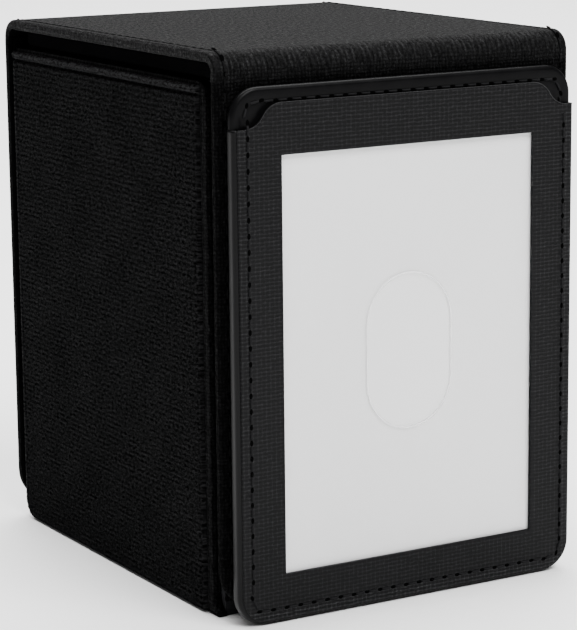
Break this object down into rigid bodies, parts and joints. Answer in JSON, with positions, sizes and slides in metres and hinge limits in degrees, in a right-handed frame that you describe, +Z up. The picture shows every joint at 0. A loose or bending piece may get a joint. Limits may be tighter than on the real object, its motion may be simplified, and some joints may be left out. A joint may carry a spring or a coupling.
{
  "type": "card deck box",
  "caption": "Fabric-covered upright deck box: padded flip lid and magnetic front flap, raised side panels and a removable leatherette card display with a clear window.",
  "frame": {"origin": "centre of the bounding box's footprint, on the surface the box stands on", "axes": "+Z up, -Y towards the front flap and its card display, +X to the right seen from the front"},
  "size_m": [0.08, 0.098, 0.1097],
  "materials": {
    "cover_fabric": "matte",
    "panel_fabric": "matte",
    "lining_fabric": "matte",
    "flock": "matte",
    "smooth_leatherette": "satin",
    "grained_leatherette": "satin",
    "grip_rubber": "matte",
    "black_board": "matte",
    "greyboard": "matte",
    "foam": "matte",
    "black_paper": "matte",
    "clear_film": "gloss",
    "card_stock": "satin",
    "steel_plate": "satin",
    "magnet": "satin",
    "black_thread": "matte",
    "grey_thread": "matte"
  },
  "bodies": {
    "tray": {"base_cover": "black_paper", "base_board": "black_board", "front_facing": "cover_fabric", "front_wall_board": "black_board", "rear_wall_board": "black_board", "left_wall_board": "black_board", "right_wall_board": "black_board", "tray_magnets": "magnet", "floor_lining": "flock", "front_lining": "flock", "rear_lining": "flock", "left_lining": "flock", "right_lining": "flock", "left_side_shell": "cover_fabric", "right_side_shell": "cover_fabric", "left_side_panel": "panel_fabric", "right_side_panel": "panel_fabric", "rear_skin": "cover_fabric", "rear_cover_lining": "lining_fabric", "rear_fold": "cover_fabric", "rear_stitching": "black_thread"},
    "lid": {"lid_skin": "cover_fabric", "lid_lining": "lining_fabric", "lid_board": "greyboard", "lid_foam": "foam", "front_fold": "cover_fabric", "lid_stitching": "black_thread"},
    "flap": {"flap_skin": "cover_fabric", "flap_lining": "lining_fabric", "flap_steel_plate": "steel_plate", "flap_board": "greyboard", "flap_magnets": "magnet", "flap_stitching": "black_thread"},
    "display_holder": {"holder_rear_sheet": "smooth_leatherette", "holder_face_sheet": "smooth_leatherette", "holder_board": "greyboard", "holder_magnets": "magnet", "holder_grip_pads": "grip_rubber", "holder_frame": "grained_leatherette", "window_sheet": "clear_film", "holder_stitching": "grey_thread"},
    "card": {"display_card": "card_stock"}
  },
  "joints": [
    {"name": "lid_hinge", "type": "hinge", "parent": "tray", "child": "lid", "pos_m": [0, 0.04784, 0.10854], "axis": [-1, 0, 0], "range_deg": [0, 180], "deforming": ["rear_fold"]},
    {"name": "flap_hinge", "type": "hinge", "parent": "lid", "child": "flap", "pos_m": [0, -0.04344, 0.10854], "axis": [-1, 0, 0], "range_deg": [0, 90], "deforming": ["front_fold"]},
    {"name": "holder_pull", "type": "slide", "parent": "flap", "child": "display_holder", "axis": [0, -1, 0], "range_m": [0, 0.03]},
    {"name": "card_slide", "type": "slide", "parent": "display_holder", "child": "card", "axis": [0, 0, 1], "range_m": [0, 0.097]}
  ]
}
